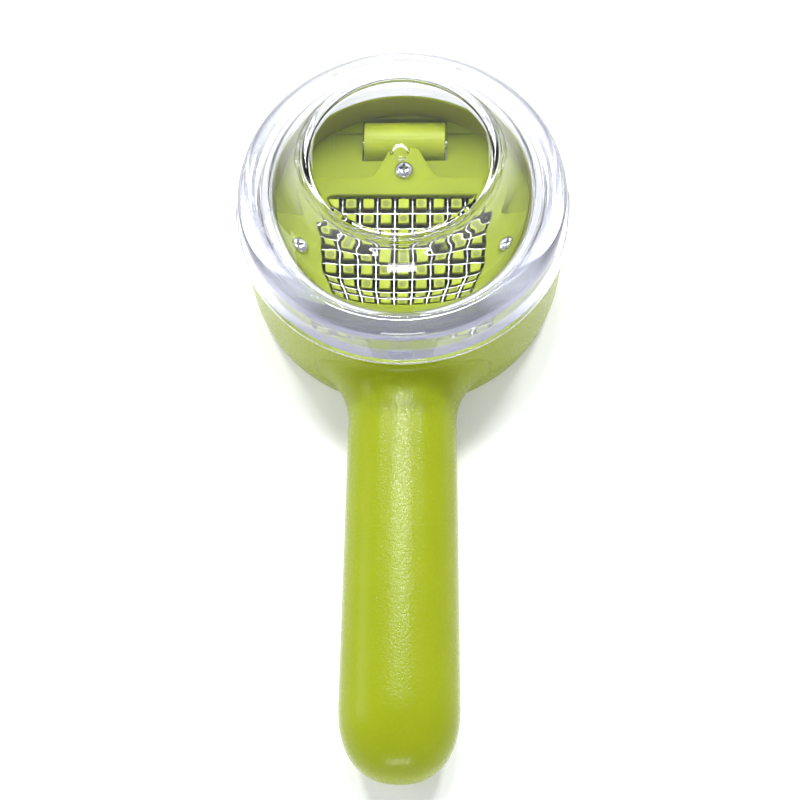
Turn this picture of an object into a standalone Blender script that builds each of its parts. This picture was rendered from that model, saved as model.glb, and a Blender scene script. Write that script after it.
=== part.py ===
"""Hand vegetable dicer: a round head with a blade grid, a peg block on a hinged lower lever, and a clear cap.

Everything is written in millimetres and turned into metres when a mesh is made.
The long handle points towards -Y, the head stands at +Y, and the tool lies on z = 0.
"""

import math

import bmesh
import bpy
from mathutils import Matrix, Vector

MM = 0.001
GAP = 0.3
MERGE = 0.00001

# head
HEAD_Y = 44.8
WALL_TOP_R = 37.7
WALL_LOW_R = 37.0
WALL_TOP_Z = 27.1
WALL_INNER_R = 35.0
LOW_INNER_R = 34.6
COLLAR_OUTER_R = 33.1
COLLAR_INNER_R = 31.4
GROOVE_Z = 24.2
SHELL_BOTTOM = 0.0
DECK_TOP = 18.6
DECK_BOTTOM = 16.2
DECK_R = LOW_INNER_R - GAP
SLOT_HALF = 9.0
SLOT_TOP = 13.0
ROUND_STEPS = 64

# blade grid
COLUMNS = 9
ROWS = 8
PITCH_X = 4.12
PITCH_Y = 4.06
GRID_Y = HEAD_Y - 8.65
GRID_HALF_X = COLUMNS * PITCH_X / 2
GRID_HALF_Y = ROWS * PITCH_Y / 2
BLADE_T = 0.35
BLADE_TOP = 20.1
BLADE_BOTTOM = 16.3
NOTCH_GAP = 0.14
BLADE_END_GAP = 0.12
RIM_T = 0.5
RIM_OUT = 0.62
RIM_CORNER = 3.0

# blade frame: a raised seat on the deck and a thin plate screwed over it
SEAT_BOTTOM = DECK_TOP + 0.1
SEAT_TOP = 20.3
PLATE_BOTTOM = 20.5
PLATE_TOP = 22.0
PLATE_R = COLLAR_INNER_R - 0.2

# frame screws
SCREW_HEAD_R = 2.3
SCREW_HEAD_H = 1.4
SCREW_SHANK_R = 1.2
SCREW_TIP_Z = 13.7
SCREW_SPOTS = ((0.0, HEAD_Y + 14.0), (-23.8, HEAD_Y - 5.4), (23.8, HEAD_Y - 5.4))
BOSS_R = 2.6

# hinge
HINGE_Y = HEAD_Y + 24.8
HINGE_Z = 16.2
KNUCKLE_R = 5.3
KNUCKLE_HALF = 9.7
LUG_START = 10.1
LUG_END = 13.6
LUG_HALF_Y = 4.2
LUG_BOTTOM = 12.0
PIN_R = 1.4
PIN_HALF = 13.0
POCKET_DEPTH = 0.8

# lower lever
PEG_ROOT = 2.6
PEG_SIDE = 2.3
PEG_TOP = 21.4
PEG_FLOOR = 15.5
PUSHER_BOTTOM = 12.6
PUSHER_SPARE = 0.2
ARM_HALF = 8.0
NECK_BEAM_HALF = 6.0
ARM_TOP = 12.2
ARM_BOTTOM = 4.3
RIB_T = 1.6

# pressing chamber
CHAMBER_X = GRID_HALF_X + RIM_OUT + 0.5
CHAMBER_Y = GRID_HALF_Y + RIM_OUT + 1.0
CHAMBER_T = 0.9
CHAMBER_BOTTOM = 12.2

# handles
HANDLE_END = HEAD_Y - 128.2
HANDLE_START = HEAD_Y - 34.0
HANDLE_HEIGHT = 22.6
NECK_HALF = 12.3
END_HALF = 13.1
NOSE_START = HEAD_Y - 112.0
SPLIT_TOP = 8.8
SPLIT_BOTTOM = 8.3
SHELL_T = 2.2
ROUNDNESS = 2.35
UPPER_CLEAR_R = 38.1
LOWER_CLEAR_R = 38.7

# clear cap: outer and inner outlines as (radius, height), from the top down
CAP_OUTER = (
    (0.0, 54.0),
    (20.4, 54.0),
    (21.5, 53.7),
    (22.0, 52.8),
    (22.8, 50.0),
    (24.4, 47.1),
    (26.6, 44.5),
    (29.2, 42.2),
    (31.4, 40.8),
    (33.0, 39.9),
    (34.4, 39.95),
    (36.0, 39.5),
    (37.0, 38.4),
    (37.35, 37.0),
    (37.3, 34.8),
    (37.4, 32.0),
    (37.7, 30.2),
    (38.1, 29.0),
    (38.6, 28.4),
    (38.6, 27.4),
)
CAP_SPIGOT = ((34.7, 27.4), (34.7, 24.8), (33.5, 24.8), (33.5, 27.4))
CAP_INNER = (
    (31.4, 27.4),
    (31.4, 33.0),
    (31.0, 35.6),
    (29.6, 38.4),
    (27.0, 41.4),
    (24.1, 44.6),
    (21.7, 47.8),
    (20.2, 50.4),
    (19.2, 51.5),
    (0.0, 51.6),
)


def clear_scene():
    for item in list(bpy.data.objects):
        bpy.data.objects.remove(item, do_unlink=True)
    for item in list(bpy.data.collections):
        bpy.data.collections.remove(item)


def new_collection(name):
    made = bpy.data.collections.new(name)
    bpy.context.scene.collection.children.link(made)
    return made


def new_material(name, colour, roughness, metallic=0.0):
    material = bpy.data.materials.new(name)
    material.use_nodes = True
    shader = material.node_tree.nodes["Principled BSDF"]
    shader.inputs["Base Color"].default_value = (*colour, 1.0)
    shader.inputs["Roughness"].default_value = roughness
    shader.inputs["Metallic"].default_value = metallic
    return material


def at(x, y, z):
    return Vector((x, y, z)) * MM


def finish_mesh(name, mesh, collection, material, location=(0.0, 0.0, 0.0), smooth=35):
    made = bpy.data.objects.new(name, mesh)
    collection.objects.link(made)
    made.location = at(*location)
    if material:
        mesh.materials.append(material)
    if smooth:
        mesh.shade_smooth()
        mesh.set_sharp_from_angle(angle=math.radians(smooth))
    return made


def object_from_bmesh(name, solid, collection, material, location=(0.0, 0.0, 0.0), smooth=35):
    mesh = bpy.data.meshes.new(name)
    solid.to_mesh(mesh)
    solid.free()
    return finish_mesh(name, mesh, collection, material, location, smooth)


def add_box(solid, low, high):
    made = bmesh.ops.create_cube(solid, size=1.0)
    size = at(*(b - a for a, b in zip(low, high)))
    centre = at(*((a + b) / 2 for a, b in zip(low, high)))
    bmesh.ops.scale(solid, vec=size, verts=made["verts"])
    bmesh.ops.translate(solid, vec=centre, verts=made["verts"])


def add_rod(solid, centre, radius, length, axis="Z", segments=32, top_radius=None):
    """A cylinder or cone centred on a point and lying along one axis."""
    second = radius if top_radius is None else top_radius
    turn = Matrix.Rotation(math.pi / 2, 4, "Y") if axis == "X" else Matrix.Identity(4)
    if segments == 4:
        turn = Matrix.Rotation(math.pi / 4, 4, "Z")
    bmesh.ops.create_cone(
        solid,
        cap_ends=True,
        segments=segments,
        radius1=radius * MM,
        radius2=second * MM,
        depth=length * MM,
        matrix=Matrix.Translation(at(*centre)) @ turn,
    )


def turned(name, profile, centre, collection, material, steps=ROUND_STEPS):
    """A profile of (radius, height) points turned about a vertical axis with a Screw modifier."""
    solid = bmesh.new()
    points = [solid.verts.new(at(radius, 0.0, height)) for radius, height in profile]
    for first, second in zip(points, points[1:]):
        solid.edges.new((first, second))
    if profile[0][0] > 0.0:
        solid.edges.new((points[-1], points[0]))
    made = object_from_bmesh(name, solid, collection, material, (*centre, 0.0), 0)
    screw = made.modifiers.new("turn", "SCREW")
    screw.steps = steps
    screw.render_steps = steps
    screw.use_merge_vertices = True
    screw.merge_threshold = MERGE
    screw.use_smooth_shade = True
    return made


def flat_solid(name, outlines, thickness, placed, collection, material, smooth=35):
    """Closed outlines (later ones are holes) filled and extruded about their own plane."""
    curve = bpy.data.curves.new(name, "CURVE")
    curve.dimensions = "2D"
    curve.fill_mode = "BOTH"
    curve.extrude = thickness / 2 * MM
    for outline in outlines:
        spline = curve.splines.new("POLY")
        spline.points.add(len(outline) - 1)
        for point, (x, y) in zip(spline.points, outline):
            point.co = (x * MM, y * MM, 0.0, 1.0)
        spline.use_cyclic_u = True
    drawn = bpy.data.objects.new(name + "_outline", curve)
    bpy.context.scene.collection.objects.link(drawn)
    bpy.context.view_layer.update()
    graph = bpy.context.evaluated_depsgraph_get()
    mesh = bpy.data.meshes.new_from_object(drawn.evaluated_get(graph))
    bpy.data.objects.remove(drawn, do_unlink=True)
    solid = bmesh.new()
    solid.from_mesh(mesh)
    bmesh.ops.remove_doubles(solid, verts=solid.verts, dist=MERGE)
    bmesh.ops.transform(solid, matrix=placed, verts=solid.verts)
    bmesh.ops.recalc_face_normals(solid, faces=solid.faces)
    solid.to_mesh(mesh)
    solid.free()
    mesh.materials.clear()
    mesh.name = name
    return finish_mesh(name, mesh, collection, material, smooth=smooth)


def lying(low, high):
    """Outline in the XY plane, solid from height low to height high."""
    return Matrix.Translation(at(0.0, 0.0, (low + high) / 2))


def side_on(x=0.0):
    """Outline given as (y, z), extruded along X."""
    turn = Matrix(((0, 0, 1, x * MM), (1, 0, 0, 0), (0, 1, 0, 0), (0, 0, 0, 1)))
    return turn


def front_on(y):
    """Outline given as (x, z), extruded along Y."""
    return Matrix(((1, 0, 0, 0), (0, 0, -1, y * MM), (0, 1, 0, 0), (0, 0, 0, 1)))


def add_boolean(target, cutter, operation):
    cutter.hide_render = True
    cutter.display_type = "WIRE"
    modifier = target.modifiers.new(cutter.name, "BOOLEAN")
    modifier.solver = "EXACT"
    modifier.operation = operation
    modifier.object = cutter


def cutter_from(name, fill, cutters):
    solid = bmesh.new()
    fill(solid)
    return object_from_bmesh(name, solid, cutters, None, smooth=0)


def add_bevel(made, width, segments=2):
    bevel = made.modifiers.new("edges", "BEVEL")
    bevel.width = width * MM
    bevel.segments = segments
    bevel.limit_method = "ANGLE"
    bevel.angle_limit = math.radians(40)


def on_hinge(made):
    """Put a moving piece's origin on the hinge axis without moving its surface."""
    target = at(0.0, HINGE_Y, HINGE_Z)
    shift = made.location - target
    made.data.transform(Matrix.Translation(shift))
    made.location = target
    return made


def arc(centre, radius, start, end, steps):
    points = []
    for i in range(steps + 1):
        angle = math.radians(start + (end - start) * i / steps)
        points.append((centre[0] + radius * math.cos(angle), centre[1] + radius * math.sin(angle)))
    return points


def circle(centre, radius, steps=16):
    return arc(centre, radius, 0.0, 360.0 * (steps - 1) / steps, steps - 1)


def rounded_rectangle(half_x, half_y, radius, steps=4):
    """Centred on the middle of the grid."""
    across = half_x - radius
    along = half_y - radius
    points = []
    for side_x, side_y, start in ((1, 1, 0), (-1, 1, 90), (-1, -1, 180), (1, -1, 270)):
        centre = (side_x * across, GRID_Y + side_y * along)
        points += arc(centre, radius, start, start + 90, steps)
    return points


def make_head_shell(parts, cutters, green):
    profile = (
        (WALL_TOP_R - 0.5, WALL_TOP_Z),
        (WALL_TOP_R, WALL_TOP_Z - 0.5),
        (WALL_TOP_R + 0.05, 21.0),
        (WALL_LOW_R + 0.3, 9.0),
        (WALL_LOW_R - 0.2, 4.0),
        (WALL_LOW_R - 0.7, 1.2),
        (WALL_LOW_R - 1.3, SHELL_BOTTOM),
        (LOW_INNER_R, SHELL_BOTTOM),
        (LOW_INNER_R, DECK_TOP + GAP),
        (COLLAR_INNER_R, DECK_TOP + GAP),
        (COLLAR_INNER_R, WALL_TOP_Z - 0.4),
        (COLLAR_INNER_R + 0.4, WALL_TOP_Z),
        (COLLAR_OUTER_R - 0.3, WALL_TOP_Z),
        (COLLAR_OUTER_R, WALL_TOP_Z - 0.3),
        (COLLAR_OUTER_R, GROOVE_Z),
        (WALL_INNER_R, GROOVE_Z),
        (WALL_INNER_R, WALL_TOP_Z),
    )
    shell = turned("head_shell", profile, (0.0, HEAD_Y), parts, green)

    def slot(solid):
        low = (-SLOT_HALF, HEAD_Y - WALL_TOP_R - 5.0, -2.0)
        add_box(solid, low, (SLOT_HALF, HEAD_Y - LOW_INNER_R + 6.0, SLOT_TOP))

    add_boolean(shell, cutter_from("cut_arm_slot", slot, cutters), "DIFFERENCE")


def make_deck(parts, cutters, green):
    """Floor of the head with the grid window, the hinge opening, its lugs and the screw posts."""
    profile = ((0.0, DECK_TOP), (DECK_R, DECK_TOP), (DECK_R, DECK_BOTTOM), (0.0, DECK_BOTTOM))
    deck = turned("head_deck", profile, (0.0, HEAD_Y), parts, green)

    def lugs(solid):
        for side in (-1, 1):
            low_x, high_x = sorted((side * LUG_START, side * LUG_END))
            low = (low_x, HINGE_Y - LUG_HALF_Y, LUG_BOTTOM)
            add_box(solid, low, (high_x, HINGE_Y + LUG_HALF_Y, DECK_BOTTOM + 1.0))

    def posts(solid):
        low = SCREW_TIP_Z - 0.8
        high = DECK_BOTTOM + 1.0
        for x, y in SCREW_SPOTS:
            add_rod(solid, (x, y, (low + high) / 2), BOSS_R, high - low, segments=24)

    def openings(solid):
        middle = (DECK_TOP + DECK_BOTTOM) / 2
        half_x = GRID_HALF_X + RIM_OUT + GAP
        half_y = GRID_HALF_Y + RIM_OUT + GAP
        add_box(solid, (-half_x, GRID_Y - half_y, middle - 4), (half_x, GRID_Y + half_y, middle + 4))
        low = (-LUG_START, HINGE_Y - KNUCKLE_R - 0.7, middle - 8)
        add_box(solid, low, (LUG_START, HINGE_Y + KNUCKLE_R + 0.5, middle + 4))
        low = SCREW_TIP_Z - 0.2
        high = DECK_TOP + 2
        for x, y in SCREW_SPOTS:
            add_rod(solid, (x, y, (low + high) / 2), SCREW_SHANK_R + 0.2, high - low, segments=16)

    def pockets(solid):
        for side in (-1, 1):
            low_x, high_x = sorted((side * (LUG_START - 1.0), side * (LUG_END + 3.4)))
            low = (low_x, HEAD_Y + 20.9, DECK_TOP - POCKET_DEPTH)
            add_box(solid, low, (high_x, HEAD_Y + 26.6, DECK_TOP + 2))

    def bore(solid):
        add_rod(solid, (0.0, HINGE_Y, HINGE_Z), PIN_R + 0.1, 2 * PIN_HALF + 0.4, "X")

    add_boolean(deck, cutter_from("join_lugs", lugs, cutters), "UNION")
    add_boolean(deck, cutter_from("join_posts", posts, cutters), "UNION")
    add_boolean(deck, cutter_from("cut_deck_openings", openings, cutters), "DIFFERENCE")
    add_boolean(deck, cutter_from("cut_hinge_pockets", pockets, cutters), "DIFFERENCE")
    add_boolean(deck, cutter_from("cut_deck_bore", bore, cutters), "DIFFERENCE")


def plate_outline(ear):
    """Right half from the far end round to the near end, then mirrored."""
    far_edge = HEAD_Y + 12.2
    if ear:
        right = [(0.0, HEAD_Y + 20.6), (1.7, HEAD_Y + 20.3), (3.3, HEAD_Y + 19.4), (4.5, HEAD_Y + 18.0)]
        right += [(5.3, HEAD_Y + 16.2), (6.2, HEAD_Y + 14.4), (7.4, HEAD_Y + 13.1), (9.0, HEAD_Y + 12.4)]
        right += [(10.8, far_edge)]
    else:
        right = [(0.0, HEAD_Y + 17.4), (3.4, HEAD_Y + 17.4), (5.4, far_edge)]
    right += [(20.9, far_edge), (21.9, far_edge - 1.0), (21.9, HEAD_Y + 4.1), (22.7, HEAD_Y + 3.4)]
    right += arc((0.0, HEAD_Y), PLATE_R, 6.3, -88.0, 32)
    left = [(-x, y) for x, y in reversed(right[1:])]
    return right + [(0.0, HEAD_Y - PLATE_R)] + left


def make_plates(parts, green):
    holes = [circle(spot, SCREW_SHANK_R + GAP) for spot in SCREW_SPOTS]
    spare = RIM_OUT + 0.15
    window = rounded_rectangle(GRID_HALF_X + spare, GRID_HALF_Y + spare, RIM_CORNER + 0.1)
    outlines = [plate_outline(False), window] + holes
    placed = lying(SEAT_BOTTOM, SEAT_TOP)
    flat_solid("grid_seat", outlines, SEAT_TOP - SEAT_BOTTOM, placed, parts, green)
    window = rounded_rectangle(GRID_HALF_X - 0.05, GRID_HALF_Y - 0.05, RIM_CORNER - 0.7)
    outlines = [plate_outline(True), window] + holes
    placed = lying(PLATE_BOTTOM, PLATE_TOP)
    flat_solid("blade_frame", outlines, PLATE_TOP - PLATE_BOTTOM, placed, parts, green)


def make_frames(parts, green, steel):
    """The pressing chamber under the deck and the steel band that holds the blade ends."""
    high = DECK_BOTTOM - GAP
    outer = rounded_rectangle(CHAMBER_X + CHAMBER_T, CHAMBER_Y + CHAMBER_T, 3.0)
    inner = rounded_rectangle(CHAMBER_X, CHAMBER_Y, 2.1)
    placed = lying(CHAMBER_BOTTOM, high)
    flat_solid("chamber_wall", [outer, inner], high - CHAMBER_BOTTOM, placed, parts, green)
    half_x = GRID_HALF_X + RIM_OUT
    half_y = GRID_HALF_Y + RIM_OUT
    outer = rounded_rectangle(half_x, half_y, RIM_CORNER)
    inner = rounded_rectangle(half_x - RIM_T, half_y - RIM_T, RIM_CORNER - RIM_T)
    placed = lying(BLADE_BOTTOM, BLADE_TOP)
    flat_solid("blade_rim", [outer, inner], BLADE_TOP - BLADE_BOTTOM, placed, parts, steel)


def comb_outline(centre, half_length, crossings, from_top):
    """Side view of one blade: a strip with a half-depth notch at each crossing."""
    notch = BLADE_T / 2 + NOTCH_GAP
    middle = (BLADE_TOP + BLADE_BOTTOM) / 2
    notch_end = middle - NOTCH_GAP if from_top else middle + NOTCH_GAP
    open_z = BLADE_TOP if from_top else BLADE_BOTTOM
    shut_z = BLADE_BOTTOM if from_top else BLADE_TOP
    edge = [(-half_length, open_z)]
    for spot in crossings:
        edge += [(spot - notch, open_z), (spot - notch, notch_end)]
        edge += [(spot + notch, notch_end), (spot + notch, open_z)]
    edge += [(half_length, open_z), (half_length, shut_z), (-half_length, shut_z)]
    return [(centre + along, z) for along, z in edge]


def make_blades(parts, steel):
    inset = RIM_OUT - RIM_T - BLADE_END_GAP
    xs = [(i - (COLUMNS - 2) / 2) * PITCH_X for i in range(COLUMNS - 1)]
    ys = [(i - (ROWS - 2) / 2) * PITCH_Y for i in range(ROWS - 1)]
    outline = comb_outline(GRID_Y, GRID_HALF_Y + inset, ys, False)
    for number, x in enumerate(xs, 1):
        flat_solid(f"long_blade_{number}", [outline], BLADE_T, side_on(x), parts, steel, 0)
    outline = comb_outline(0.0, GRID_HALF_X + inset, xs, True)
    for number, y in enumerate(ys, 1):
        flat_solid(f"cross_blade_{number}", [outline], BLADE_T, front_on(GRID_Y + y), parts, steel, 0)


def make_screws(parts, cutters, steel):
    head_z = PLATE_TOP + 0.1
    top = head_z + SCREW_HEAD_H
    profile = (
        (0.0, top),
        (1.5, top - 0.2),
        (2.05, top - 0.55),
        (SCREW_HEAD_R, head_z + 0.45),
        (SCREW_HEAD_R, head_z),
        (SCREW_SHANK_R, head_z),
        (SCREW_SHANK_R, SCREW_TIP_Z + 1.2),
        (0.0, SCREW_TIP_Z),
    )

    arm = 1.25
    tip = 0.26
    root = 0.34
    plus = []
    for turn in range(4):
        for x, y in ((root, -root), (arm, -tip), (arm, tip)):
            for _ in range(turn):
                x, y = -y, x
            plus.append((x, y))
    placed = lying(top - 0.85, top + 1.0)
    for label, (x, y) in zip(("far", "left", "right"), SCREW_SPOTS):
        screw = turned("frame_screw_" + label, profile, (x, y), parts, steel, 20)
        outline = [(x + dx, y + dy) for dx, dy in plus]
        cutter = flat_solid("cut_recess_" + label, [outline], 1.85, placed, cutters, None, 0)
        add_boolean(screw, cutter, "DIFFERENCE")


def make_hinge(parts, cutters, green, steel):
    solid = bmesh.new()
    add_rod(solid, (0.0, HINGE_Y, HINGE_Z), PIN_R, 2 * PIN_HALF, "X")
    object_from_bmesh("hinge_pin", solid, parts, steel)
    solid = bmesh.new()
    add_rod(solid, (0.0, HINGE_Y, HINGE_Z), KNUCKLE_R, 2 * KNUCKLE_HALF, "X", 40)
    knuckle = object_from_bmesh("lower_knuckle", solid, parts, green)
    add_bevel(knuckle, 0.3)

    def bore(solid):
        add_rod(solid, (0.0, HINGE_Y, HINGE_Z), PIN_R + 0.1, 2 * KNUCKLE_HALF + 2, "X")

    add_boolean(knuckle, cutter_from("cut_knuckle_bore", bore, cutters), "DIFFERENCE")
    on_hinge(knuckle)


def make_lower_arm(parts, cutters, green):
    """The beam under the pusher, from a saddle on the knuckle to the inside of the handle."""
    saddle_top = HINGE_Z - KNUCKLE_R + 1.3
    outline = (
        (HINGE_Y + 3.0, saddle_top),
        (HINGE_Y - 6.0, saddle_top),
        (HINGE_Y - 6.5, ARM_TOP),
        (HEAD_Y - 32.0, ARM_TOP),
        (HEAD_Y - 32.0, ARM_BOTTOM),
        (HINGE_Y - 12.0, ARM_BOTTOM),
        (HINGE_Y - 5.0, HINGE_Z - 9.2),
        (HINGE_Y + 3.0, HINGE_Z - 8.0),
    )
    arm = flat_solid("lower_arm", [outline], 2 * ARM_HALF, side_on(), parts, green)

    def saddle(solid):
        add_rod(solid, (0.0, HINGE_Y, HINGE_Z), KNUCKLE_R + 0.2, 2 * ARM_HALF + 4, "X", 40)

    def neck(solid):
        low = (-NECK_BEAM_HALF, HEAD_Y - 62.0, ARM_BOTTOM + 0.1)
        add_box(solid, low, (NECK_BEAM_HALF, HEAD_Y - 30.0, ARM_TOP - 0.1))

    add_boolean(arm, cutter_from("join_neck", neck, cutters), "UNION")
    add_boolean(arm, cutter_from("cut_saddle", saddle, cutters), "DIFFERENCE")
    on_hinge(arm)


def make_peg_block(parts, cutters, green):
    """The pusher plate with one tapered square peg for every cell, and ribs beside the beam."""
    half_x = GRID_HALF_X + PUSHER_SPARE
    half_y = GRID_HALF_Y + PUSHER_SPARE
    solid = bmesh.new()
    low = (-half_x, GRID_Y - half_y, PUSHER_BOTTOM)
    add_box(solid, low, (half_x, GRID_Y + half_y, PEG_FLOOR))
    block = object_from_bmesh("peg_block", solid, parts, green, smooth=0)
    root = PEG_FLOOR - 0.6
    middle = (root + PEG_TOP) / 2

    def pegs(solid):
        for column in range(COLUMNS):
            for row in range(ROWS):
                x = (column - (COLUMNS - 1) / 2) * PITCH_X
                y = GRID_Y + (row - (ROWS - 1) / 2) * PITCH_Y
                lower = PEG_ROOT / math.sqrt(2)
                upper = PEG_SIDE / math.sqrt(2)
                add_rod(solid, (x, y, middle), lower, PEG_TOP - root, "Z", 4, upper)

    def ribs(solid):
        for side in (-1, 1):
            low_x, high_x = sorted((side * (ARM_HALF + GAP), side * (half_x - 0.8)))
            for step in (-1, 0, 1):
                y = GRID_Y + step * 2.75 * PITCH_Y
                low = (low_x, y - RIB_T / 2, ARM_BOTTOM + 3.2)
                add_box(solid, low, (high_x, y + RIB_T / 2, PUSHER_BOTTOM + 0.6))

    add_boolean(block, cutter_from("join_pegs", pegs, cutters), "UNION")
    add_boolean(block, cutter_from("join_ribs", ribs, cutters), "UNION")
    on_hinge(block)


def handle_stations(end):
    """Distance along the handle and the shrink factor that rounds off the nose."""
    stations = []
    for i in range(7):
        stations.append((HANDLE_START + (NOSE_START - HANDLE_START) * i / 6, 1.0))
    length = NOSE_START - end
    for i in range(1, 10):
        angle = math.pi / 2 * i / 9.4
        along = math.sin(angle) ** (2 / 2.3)
        stations.append((NOSE_START - length * along, math.cos(angle) ** (2 / 2.3)))
    return stations


def half_width_at(y):
    along = (HANDLE_START - y) / (HANDLE_START - NOSE_START)
    return NECK_HALF + (END_HALF - NECK_HALF) * min(max(along, 0.0), 1.0)


def signed_power(value, power):
    return math.copysign(abs(value) ** power, value)


def join_rings(solid, ring, following):
    for i in range(len(ring)):
        j = (i + 1) % len(ring)
        solid.faces.new((ring[i], following[i], following[j], ring[j]))


def add_bar(solid, inset, start_extra, steps=32):
    """The whole rounded handle as one loft; inset gives the smaller solid that hollows it."""
    middle = HANDLE_HEIGHT / 2
    rings = []
    for place, (y, shrink) in enumerate(handle_stations(HANDLE_END + inset)):
        wide = (half_width_at(y) - inset) * shrink
        tall = (middle - inset) * shrink
        along = y + start_extra if place == 0 else y
        ring = []
        for i in range(steps):
            angle = 2 * math.pi * (i + 0.5) / steps
            x = wide * signed_power(math.cos(angle), 2 / ROUNDNESS)
            z = middle + tall * signed_power(math.sin(angle), 2 / ROUNDNESS)
            ring.append(solid.verts.new(at(x, along, z)))
        rings.append(ring)
    for ring, following in zip(rings, rings[1:]):
        join_rings(solid, ring, following)
    solid.faces.new(rings[0])
    solid.faces.new(list(reversed(rings[-1])))
    bmesh.ops.recalc_face_normals(solid, faces=solid.faces)


def make_handle(name, clear_radius, cut_low, cut_high, parts, cutters, green):
    solid = bmesh.new()
    add_bar(solid, 0.0, 0.0)
    handle = object_from_bmesh(name, solid, parts, green)

    def beyond_split(solid):
        add_box(solid, (-30.0, HANDLE_END - 10.0, cut_low), (30.0, HEAD_Y, cut_high))

    def hollow(solid):
        add_bar(solid, SHELL_T, 8.0)

    def head_room(solid):
        add_rod(solid, (0.0, HEAD_Y, 15.0), clear_radius, 60.0, segments=ROUND_STEPS)

    add_boolean(handle, cutter_from("cut_split_" + name, beyond_split, cutters), "DIFFERENCE")
    add_boolean(handle, cutter_from("cut_hollow_" + name, hollow, cutters), "DIFFERENCE")
    add_boolean(handle, cutter_from("cut_head_" + name, head_room, cutters), "DIFFERENCE")
    return handle


def make_cap(parts, clear):
    turned("clear_cap", CAP_OUTER + CAP_SPIGOT + CAP_INNER, (0.0, HEAD_Y), parts, clear)
    solid = bmesh.new()
    add_box(solid, (-2.7, HEAD_Y - 38.55, 29.7), (2.7, HEAD_Y - 38.05, 33.4))
    tab = object_from_bmesh("cap_tab", solid, parts, clear)
    add_bevel(tab, 0.15)


def main():
    clear_scene()
    parts = new_collection("vegetable_dicer")
    cutters = new_collection("cutters")
    green = new_material("lime_plastic", (0.42, 0.56, 0.06), 0.4)
    steel = new_material("blade_steel", (0.75, 0.75, 0.76), 0.25, 1.0)
    clear = new_material("clear_plastic", (0.9, 0.93, 0.93), 0.05)
    make_head_shell(parts, cutters, green)
    make_deck(parts, cutters, green)
    make_plates(parts, green)
    make_frames(parts, green, steel)
    make_blades(parts, steel)
    make_screws(parts, cutters, steel)
    make_hinge(parts, cutters, green, steel)
    make_lower_arm(parts, cutters, green)
    make_peg_block(parts, cutters, green)
    make_handle("upper_handle", UPPER_CLEAR_R, -10.0, SPLIT_TOP, parts, cutters, green)
    lower = make_handle("lower_handle", LOWER_CLEAR_R, SPLIT_BOTTOM, 40.0, parts, cutters, green)
    on_hinge(lower)
    make_cap(parts, clear)


main()
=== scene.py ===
import math

import bmesh
import bpy
from mathutils import Matrix, Vector


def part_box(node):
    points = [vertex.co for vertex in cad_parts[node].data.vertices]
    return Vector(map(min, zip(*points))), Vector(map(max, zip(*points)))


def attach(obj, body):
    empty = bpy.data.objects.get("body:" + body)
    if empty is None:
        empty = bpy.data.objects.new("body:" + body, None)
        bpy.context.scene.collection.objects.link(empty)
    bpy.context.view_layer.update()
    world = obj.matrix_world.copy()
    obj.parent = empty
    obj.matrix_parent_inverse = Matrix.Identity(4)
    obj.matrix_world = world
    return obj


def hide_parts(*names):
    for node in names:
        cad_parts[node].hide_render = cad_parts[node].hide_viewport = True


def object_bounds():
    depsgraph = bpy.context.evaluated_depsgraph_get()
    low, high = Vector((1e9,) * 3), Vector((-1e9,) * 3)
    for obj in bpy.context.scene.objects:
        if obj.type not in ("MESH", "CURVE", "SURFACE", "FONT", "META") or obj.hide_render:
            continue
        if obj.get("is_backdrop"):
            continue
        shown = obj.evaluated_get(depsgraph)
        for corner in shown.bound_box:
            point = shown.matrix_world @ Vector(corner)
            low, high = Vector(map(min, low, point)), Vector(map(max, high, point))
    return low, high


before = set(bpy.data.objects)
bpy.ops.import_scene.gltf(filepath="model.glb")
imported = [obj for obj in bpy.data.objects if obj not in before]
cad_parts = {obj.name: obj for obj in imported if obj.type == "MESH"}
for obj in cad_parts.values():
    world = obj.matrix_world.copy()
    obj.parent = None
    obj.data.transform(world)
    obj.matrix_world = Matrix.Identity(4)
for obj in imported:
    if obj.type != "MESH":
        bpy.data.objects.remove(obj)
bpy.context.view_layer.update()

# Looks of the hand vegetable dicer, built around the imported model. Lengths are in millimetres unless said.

MM = 0.001
MERGE = 0.000001  # points nearer than this, in metres, become one


def measure(node):
    low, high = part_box(node)
    return low / MM, high / MM


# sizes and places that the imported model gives
shell_low, shell_high = measure("head_shell")
_, deck_high = measure("head_deck")
plate_low, plate_high = measure("blade_frame")
rim_low, rim_high = measure("blade_rim")
blade_low, blade_high = measure("long_blade_1")
_, peg_high = measure("peg_block")
upper_low, upper_high = measure("upper_handle")
_, lower_high = measure("lower_handle")
cap_low, cap_high = measure("clear_cap")
tab_low, tab_high = measure("cap_tab")
screw_spots = {}
for label in ("far", "left", "right"):
    low, high = measure("frame_screw_" + label)
    screw_spots[label] = ((low.x + high.x) / 2, (low.y + high.y) / 2, high.z)

HEAD_Y = (cap_low.y + cap_high.y) / 2
WALL_R = (shell_high.x - shell_low.x) / 2
WALL_TOP = shell_high.z
DECK_TOP = deck_high.z
CAP_R = (cap_high.x - cap_low.x) / 2
CAP_TOP = cap_high.z
COLLAR_R = 31.4
FLANGE_Z = WALL_TOP + 0.3
TURN_STEPS = 192

# blade grid
COLUMNS = 9
ROWS = 8
RIM_OUT = 0.62
GRID_Y = (rim_low.y + rim_high.y) / 2
GRID_HALF_X = (rim_high.x - rim_low.x) / 2 - RIM_OUT
GRID_HALF_Y = (rim_high.y - rim_low.y) / 2 - RIM_OUT
PITCH_X = 2 * GRID_HALF_X / COLUMNS
PITCH_Y = 2 * GRID_HALF_Y / ROWS
BLADE_T = 0.35
SQUARE = ((1, 1), (-1, 1), (-1, -1), (1, -1))

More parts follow.
